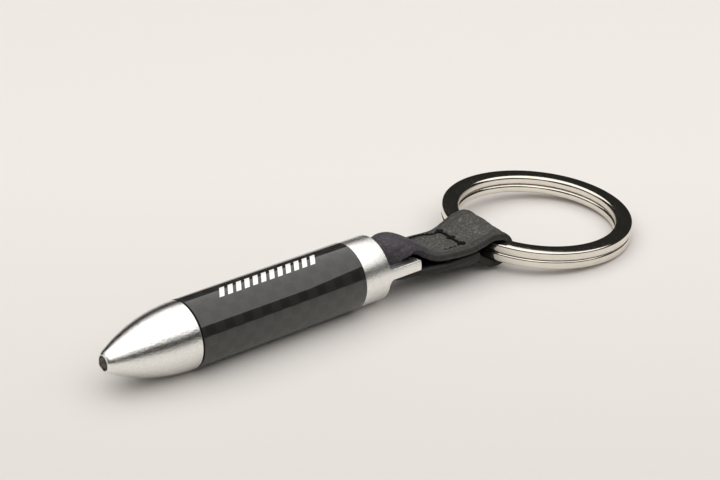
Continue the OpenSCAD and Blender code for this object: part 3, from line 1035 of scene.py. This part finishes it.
def stitches(top, normal, v):
    """Short arched stitches between the needle holes, with a knot at each corner of the seam."""
    parts = []
    steps = 10
    sunk = 0.16

    def part_way(a, b, t):
        """The place at share t of the way from a to b."""
        return a[0] + (b[0] - a[0]) * t, a[1] + (b[1] - a[1]) * t

    def seam_normal(place):
        """Which way is out of the leather at a place on the seam."""
        here = on_top(top, v, *place)
        near = np.abs(top[slice(*TOP_LAYER)] - here).sum(axis=2)
        i, j = np.unravel_index(near.argmin(), near.shape)
        return normal[i + TOP_LAYER[0], j]

    def stitch(a, b, radius, arch):
        """A tube from hole a to hole b that goes down into the leather at its ends."""
        sections = []
        points = []
        for k in range(steps + 1):
            t = k / steps
            place = part_way(a, b, t)
            lift = (arch * math.sin(math.pi * t) - sunk * (2 * t - 1) ** 4) * MM
            points.append(on_top(top, v, *place) + seam_normal(place) * lift)
        points = np.array(points)
        way = unit(np.gradient(points, axis=0))
        for k, (p, w) in enumerate(zip(points, way)):
            side = unit(np.cross(w, seam_normal(a)))
            up = np.cross(side, w)
            thick = radius * (0.72 + 0.28 * math.sin(math.pi * k / steps)) * MM
            turns = [2 * math.pi * i / steps for i in range(steps)]
            sections.append([tuple(p + (side * math.cos(q) + up * math.sin(q)) * thick) for q in turns])
        parts.append(loft(sections))

    gap = 0.12
    for row, _, radius, arch in SEAMS:
        for a, b in zip(row, row[1:]):
            stitch(part_way(a, b, gap), part_way(b, a, gap), radius, arch)
    for x, v_at in (END_SEAM[0], END_SEAM[3], END_SEAM[-1]):
        stitch((x - 0.62, v_at + 0.04), (x + 0.58, v_at - 0.06), 0.42, 0.16)
        stitch((x + 0.12, v_at + 0.11), (x - 0.05, v_at - 0.13), 0.38, 0.22)
    piece = add_piece("stitches", *joined(*parts), Matrix.Identity(4), black_thread)
    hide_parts("strap_stitching")
    return piece


def strap():
    """The strap as one strip of leather with rounded edges and a turned border, and its stitches."""
    grid, flat, v, along = strap_sheet()
    normal = unit(np.cross(np.gradient(grid, axis=0), np.gradient(grid, axis=1)))
    grid = worn(grid, normal)
    half = LEATHER_T / 2 * MM
    at = np.abs(v)
    raised = 0.08 * smoothstep(0.74, 0.88, at)
    crease = 0.09 * np.exp(-(((at - 0.75) / 0.045) ** 2))
    border = (raised - crease) * MM
    pull = pinched(grid + normal * half, v)
    rim_steps = 6
    sections, marks, top = [], [], []
    for i in range(len(grid)):
        outer = grid[i] + normal[i] * (half + border - pull[i])[:, None]
        top.append(outer)
        inner = grid[i] - normal[i] * half
        section = list(outer)
        places = list(flat[i])
        for end, beside in ((-1, -2), (0, 1)):
            away = unit(grid[i, end] - grid[i, beside])
            reach = half + border[end] / 2
            for k in range(1, rim_steps):
                a = math.pi * (0.5 - k / rim_steps) * (1 if end else -1)
                edge = grid[i, end] + normal[i, end] * border[end] / 2
                section.append(edge + (away * math.cos(a) * 0.8 + normal[i, end] * math.sin(a)) * reach)
                places.append(flat[i, end] + np.array((0, 0, k * EDGE_STEP * MM)))
            if end:
                section += list(inner[::-1])
                places += list(flat[i][::-1] + np.array((0, 0, INSIDE * MM)))
        sections.append([tuple(p) for p in section])
        marks += places
    piece = add_piece("strap", *loft(sections), Matrix.Identity(4), black_leather, 60)
    attribute = piece.data.attributes.new("flat", "FLOAT_VECTOR", "POINT")
    attribute.data.foreach_set("vector", np.array(marks, np.float32).ravel())
    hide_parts("strap_front", "strap_rear")
    return piece, stitches(np.array(top), normal, v), along[-1] * MM


strap_piece, seam, strap_length = strap()
for piece in (strap_piece, seam):
    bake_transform(piece)

# ---- split ring ----


def wire_section():
    """Flat wire with rounded edges, rounder on the inside, as (radius, z) points."""
    inner = (0.5, 0.6)
    outer = (0.3, 0.45)
    inner_x = RING_R - WIRE_W + inner[0]
    outer_x = RING_R - outer[0]
    corners = (
        (inner_x, inner[1], *inner, 180),
        (outer_x, outer[1], *outer, 270),
        (outer_x, WIRE_T - outer[1], *outer, 0),
        (inner_x, WIRE_T - inner[1], *inner, 90),
    )
    steps = 7
    section = []
    for x, z, wide, high, start in corners:
        for k in range(steps + 1):
            a = math.radians(start + 90 * k / steps)
            section.append((x + wide * math.cos(a), z + high * math.sin(a)))
    return section


def split_ring():
    """Two turns of one wire, with the step from the lower turn to the upper one under the strap."""
    step_half = 7.0
    start = step_half + 0.6
    end = 720 - step_half - 0.6
    section = wire_section()
    rise = RING_T - WIRE_T
    turns = []
    angle = start
    while angle < end:
        turns.append(angle)
        near_step = abs(angle - 360) < step_half + 2
        angle += 0.7 if near_step else 1.25
    turns.append(end)
    sections = []
    for angle in turns:
        z = rise * float(smoothstep(360 - step_half, 360 + step_half, angle)) - RING_T / 2
        t = math.radians(180 + angle)
        sections.append([(r * math.cos(t), r * math.sin(t), z + h) for r, h in section])
    piece = add_piece("ring", *loft(sections), RING, chrome, 35)
    return settle(piece, "ring", "ring_chrome", "split_ring")


split_ring()

# ---- finishes for the CAD nodes that stay ----

kept = {
    "nose_seal": moulded("seal_rubber", (0.02, 0.02, 0.02), 0.5),
    "led_leads": wire_steel,
    "led_holder": moulded("holder_plastic", (0.03, 0.03, 0.034), 0.4),
    "contact_disc": plated_metal("contact_brass", (0.80, 0.62, 0.28), 0.2),
    "battery_sleeve": moulded("sleeve_film", (0.06, 0.12, 0.28), 0.3),
    "battery_spring": plated_metal("spring_steel", (0.62, 0.62, 0.60), 0.22),
}
cell_steel = plated_metal("cell_steel", (0.76, 0.76, 0.74), 0.2)
for i in range(1, 5):
    kept[f"battery_cell_{i}"] = cell_steel
for name, finish in kept.items():
    slots = frame["nodes"][name].data.materials
    slots.clear()
    slots.append(finish)

# ---- floor and light ----


def floor():
    """A wide card under the light."""
    side = 4.0
    corners = [(-side, -side, 0), (side, -side, 0), (side, side, 0), (-side, side, 0)]
    mesh = bpy.data.meshes.new("floor")
    mesh.from_pydata(corners, [], [(0, 1, 2, 3)])
    mesh.materials.append(floor_finish())
    obj = bpy.data.objects.new("floor", mesh)
    scene.collection.objects.link(obj)


def soft_light(name, centre, size, radiance, colour, aim):
    """A rectangular softbox that faces its aim."""
    data = bpy.data.lights.new(name, "AREA")
    data.shape = "RECTANGLE"
    data.size, data.size_y = size
    data.energy = radiance * math.pi * size[0] * size[1]
    data.color = colour
    obj = bpy.data.objects.new(name, data)
    obj.location = centre
    obj.rotation_mode = "QUATERNION"
    obj.rotation_quaternion = (Vector(aim) - Vector(centre)).to_track_quat("-Z", "Y")
    scene.collection.objects.link(obj)


def overhead():
    """A wide softbox in strips, a little brighter towards the front."""
    x = -0.02
    front = -1.05
    back = 0.82
    height = 0.7
    wide = 1.75
    strips = (1.50, 1.43, 1.39, 1.36)
    warm_white = (1.0, 0.985, 0.96)
    deep = (back - front) / len(strips)
    for i, radiance in enumerate(strips):
        y = front + deep * (i + 0.5)
        soft_light(f"overhead_{i}", (x, y, height), (wide, deep), radiance, warm_white, (x, y, 0))


def studio_world():
    """A dim room for reflections, a little fill for the shadows and a pale surround."""
    world = bpy.data.worlds.new("studio")
    scene.world = world
    world.use_nodes = True
    tree = world.node_tree

    def background(shader, colour, strength):
        shader.inputs["Color"].default_value = (*colour, 1)
        shader.inputs["Strength"].default_value = strength
        return shader.outputs[0]

    def chosen(share, low, high):
        mix = tree.nodes.new("ShaderNodeMixShader")
        for socket, source in zip(mix.inputs, (share, low, high)):
            tree.links.new(source, socket)
        return mix.outputs[0]

    room = background(tree.nodes["Background"], (1.0, 0.96, 0.9), 0.022)
    fill = background(tree.nodes.new("ShaderNodeBackground"), (1.0, 0.97, 0.92), 0.30)
    seen = background(tree.nodes.new("ShaderNodeBackground"), (0.86, 0.82, 0.77), 1.0)
    rays = tree.nodes.new("ShaderNodeLightPath").outputs
    lit = chosen(rays["Is Diffuse Ray"], room, fill)
    surface = chosen(rays["Is Camera Ray"], lit, seen)
    tree.links.new(surface, tree.nodes["World Output"].inputs["Surface"])


floor()
overhead()
studio_world()
